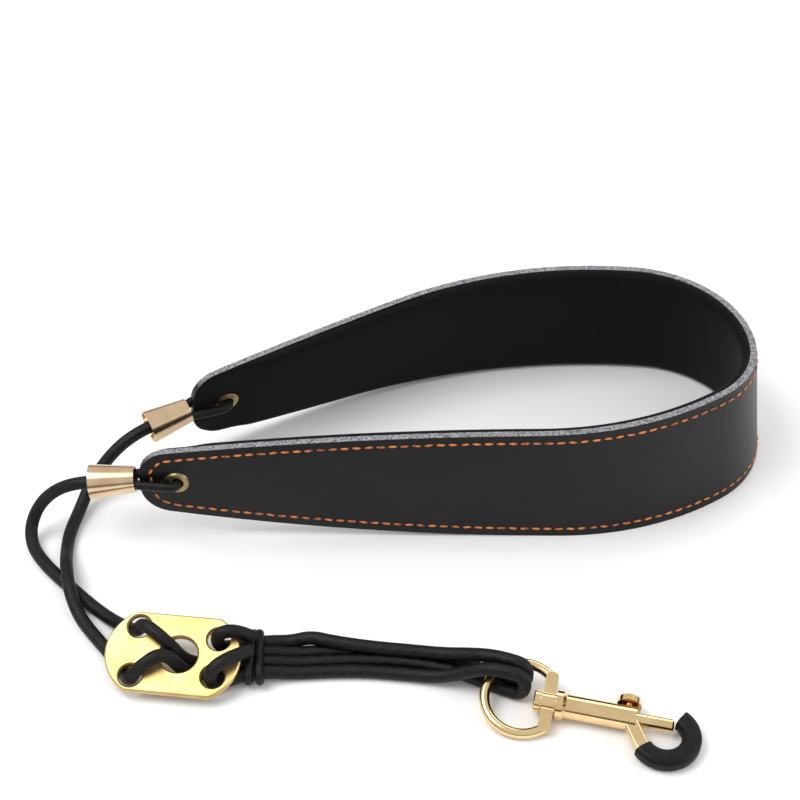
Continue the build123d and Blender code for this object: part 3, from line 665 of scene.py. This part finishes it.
class StrapStage(bpy.types.Operator):
    """Floor, soft studio light and the camera"""

    bl_idname = "neck_strap.stage"
    bl_label = "Stage"

    def execute(self, context):
        settings = context.scene.strap_stage
        bm = bmesh.new()
        bmesh.ops.create_grid(bm, x_segments=1, y_segments=1, size=FLOOR_HALF,
                              matrix=Matrix.Translation((0, 0, -FLOOR_DROP * MM)))
        floor = new_piece("studio_floor", bm)
        tree, shader, _ = start_material("studio_paper", {"Roughness": 0.9, "Specular IOR Level": 0.1})
        shader.inputs["Base Color"].default_value = settings.floor
        give(floor, "studio_paper")
        world = bpy.data.worlds.new("studio_sky")
        context.scene.world = world
        world.use_nodes = True
        sky = world.node_tree
        direction = add_node(sky, "ShaderNodeTexCoord")
        height = add_node(sky, "ShaderNodeSeparateXYZ", links={"Vector": direction.outputs["Generated"]})
        glow = add_node(sky, "ShaderNodeValToRGB", links={"Fac": height.outputs["Z"]},
                        stops=[(0.0, linear("#4c4c4c")), (0.16, linear("#5e5e5e")),
                               (0.36, linear("#ffffff"))])
        sky.links.new(glow.outputs["Color"], sky.nodes["Background"].inputs["Color"])
        sky.nodes["Background"].inputs["Strength"].default_value = settings.world
        for name, place, size, share in LAMPS:
            data = bpy.data.lights.new(name, "AREA")
            data.energy, data.size = settings.key * share, size
            lamp = bpy.data.objects.new(name, data)
            lamp.location = place
            lamp.rotation_euler = (-Vector(place)).to_track_quat("-Z", "Y").to_euler()
            context.scene.collection.objects.link(lamp)
        camera = bpy.data.cameras.new("camera")
        camera.lens, camera.sensor_width = settings.lens, SENSOR
        camera.clip_start = 0.01
        eye = bpy.data.objects.new("camera", camera)
        target = Vector(CAMERA_TARGET) * MM
        eye.location = Vector(CAMERA_PLACE) * MM
        eye.rotation_euler = (target - eye.location).to_track_quat("-Z", "Y").to_euler()
        context.scene.collection.objects.link(eye)
        context.scene.camera = eye
        context.scene.view_settings.view_transform = "Standard"
        return {"FINISHED"}


class StrapLeather(bpy.types.Operator):
    """Finish of the leather band"""

    bl_idname = "neck_strap.leather"
    bl_label = "Leather band"

    def execute(self, context):
        settings = context.scene.strap_band
        leather_material(settings.leather, settings.edge)
        give(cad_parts["leather_band"], "corrected_grain_cowhide")
        return {"FINISHED"}


class StrapLining(bpy.types.Operator):
    """Padded lining over the foam"""

    bl_idname = "neck_strap.lining"
    bl_label = "Padded lining"

    def execute(self, context):
        cloth_material("brushed_microfibre", "#030303", context.scene.strap_band.lining, 0.6, 0.04)
        piece = make_lining()
        if not piece.data.polygons:
            raise RuntimeError("the eyelet holes left nothing of the lining")
        give(piece, "brushed_microfibre")
        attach(piece, "strap")
        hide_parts("lining", "foam_core")
        return {"FINISHED"}


class StrapStitching(bpy.types.Operator):
    """Seam round the band"""

    bl_idname = "neck_strap.stitching"
    bl_label = "Stitching"

    def execute(self, context):
        settings = context.scene.strap_band
        thread_material(settings.thread_colour)
        piece = make_stitching(settings)
        give(piece, "waxed_thread")
        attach(piece, "strap")
        return {"FINISHED"}


class StrapLeads(bpy.types.Operator):
    """Cords from the cones to the adjuster plate"""

    bl_idname = "neck_strap.leads"
    bl_label = "Leads"

    def execute(self, context):
        settings = context.scene.strap_cord
        cord_material(settings.colour)
        for end, route in (("front", LEAD_FRONT), ("back", LEAD_BACK)):
            piece, path = cord_tube(f"lead_{end}", route, settings.diameter)
            give(piece, "braided_polyester_cord")
            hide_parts(f"cord_lead_{end}")
            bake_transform(piece)
        return {"FINISHED"}


class StrapStrands(bpy.types.Operator):
    """Strands from the adjuster plate round the ring and back"""

    bl_idname = "neck_strap.strands"
    bl_label = "Strands"

    def execute(self, context):
        settings = context.scene.strap_cord
        for end, route in (("front", STRAND_FRONT), ("back", STRAND_BACK)):
            piece, path = cord_tube(f"strand_{end}", route, settings.diameter)
            give(piece, "braided_polyester_cord")
            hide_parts(f"cord_strand_{end}")
            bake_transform(piece)
        return {"FINISHED"}


class StrapLoops(bpy.types.Operator):
    """Doubled cord loops through the eyelets, and the knots in the cones"""

    bl_idname = "neck_strap.loops"
    bl_label = "Tip loops"

    def execute(self, context):
        settings = context.scene.strap_cord
        for end in ("front", "back"):
            piece, path = cord_tube(f"tip_loop_{end}", tip_loop(end), settings.loop)
            give(piece, "braided_polyester_cord")
            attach(piece, "strap")
            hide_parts(f"cord_loop_{end}")
            give(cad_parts[f"cone_knot_{end}"], "braided_polyester_cord")
        return {"FINISHED"}


class StrapKnot(bpy.types.Operator):
    """Turns of cord that hold the strands together"""

    bl_idname = "neck_strap.knot"
    bl_label = "Wrapped knot"

    def execute(self, context):
        settings = context.scene.strap_cord
        low, high = (Vector(corner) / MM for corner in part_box("cord_knot"))
        centre = (low + high) / 2
        radius = settings.wrap / MM / 2
        half_wide = (high.y - low.y) / 2 - radius
        half_high = (high.z - low.z) / 2 - radius
        wraps = bmesh.new()
        for index, along in enumerate(WRAP_PLACES):
            ring = []
            for k in range(WRAP_POINTS):
                turn = 2 * math.pi * k / WRAP_POINTS
                reach = Vector((0, math.cos(turn), math.sin(turn)))
                wide = math.copysign(abs(reach.y) ** WRAP_SQUARE[0], reach.y) * half_wide
                tall = math.copysign(abs(reach.z) ** WRAP_SQUARE[1], reach.z) * half_high
                skew = WRAP_SKEW * (-1) ** index * reach.y
                ring.append(centre + Vector((along * radius + skew, wide, tall)))
            turn_piece, _ = cord_tube(f"wrap_{index}", ring, settings.wrap, cyclic=True)
            wraps.from_mesh(turn_piece.data)
            bpy.data.objects.remove(turn_piece)
        piece = new_piece("wrapped_knot", wraps)
        give(piece, "braided_polyester_cord")
        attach(piece, "adjuster")
        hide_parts("cord_knot")
        return {"FINISHED"}


class StrapFittings(bpy.types.Operator):
    """Finishes of the eyelets, cones, plate, ring and snap hook"""

    bl_idname = "neck_strap.fittings"
    bl_label = "Metal fittings"

    def execute(self, context):
        settings = context.scene.strap_metal
        metal_material("satin_gold_plate", settings.plate, "#d2ae68", 0.4, 0.35, 0.25)
        metal_material("polished_gold_plating", settings.hook, "#e2be86", 0.12, 0.8, 0.08)
        metal_material("champagne_plating", settings.cone, "#d4b48f", 0.2, 0.6, 0.1)
        metal_material("antique_brass", settings.eyelet, "#6b5d40", 0.34, 0.7, 0.3)
        metal_material("spring_steel", linear("#b9babb"), "#8f9092", 0.25, 0.4, 0.1)
        rubber_material(settings.sleeve)
        finishes = {"adjuster_plate": "satin_gold_plate", "bolt_spring": "spring_steel",
                    "rubber_sleeve": "dipped_rubber"}
        for node in ("swivel_ring", "snap_body", "swivel_post", "snap_bolt", "thumb_knob"):
            finishes[node] = "polished_gold_plating"
        for end in ("front", "back"):
            finishes[f"cone_{end}"] = "champagne_plating"
            finishes[f"eyelet_{end}"] = "antique_brass"
            finishes[f"washer_{end}"] = "antique_brass"
        for node, finish in finishes.items():
            give(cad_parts[node], finish)
        return {"FINISHED"}


class StrapPanel(bpy.types.Panel):
    """Steps of the neck strap"""

    bl_idname = "VIEW3D_PT_neck_strap"
    bl_label = "Neck Strap"
    bl_space_type = "VIEW_3D"
    bl_region_type = "UI"
    bl_category = "Neck Strap"

    def draw(self, context):
        for step in STEPS:
            self.layout.operator(step.bl_idname)


STEPS = (StrapStage, StrapLeads, StrapStrands, StrapLoops, StrapKnot, StrapLeather, StrapLining,
         StrapStitching, StrapFittings)
SETTINGS = {"strap_band": StrapBandSettings, "strap_cord": StrapCordSettings,
            "strap_metal": StrapMetalSettings, "strap_stage": StrapStageSettings}


def register():
    """Register the settings, steps and panel."""
    for name, group in SETTINGS.items():
        bpy.utils.register_class(group)
        setattr(bpy.types.Scene, name, PointerProperty(type=group))
    for step in (*STEPS, StrapPanel):
        bpy.utils.register_class(step)


def unregister():
    """Remove what register added."""
    for step in reversed((*STEPS, StrapPanel)):
        bpy.utils.unregister_class(step)
    for name, group in SETTINGS.items():
        delattr(bpy.types.Scene, name)
        bpy.utils.unregister_class(group)


def main():
    """Build the strap."""
    register()
    for step in STEPS:
        area, action = step.bl_idname.split(".")
        getattr(getattr(bpy.ops, area), action)()


if __name__ == "__main__":
    main()
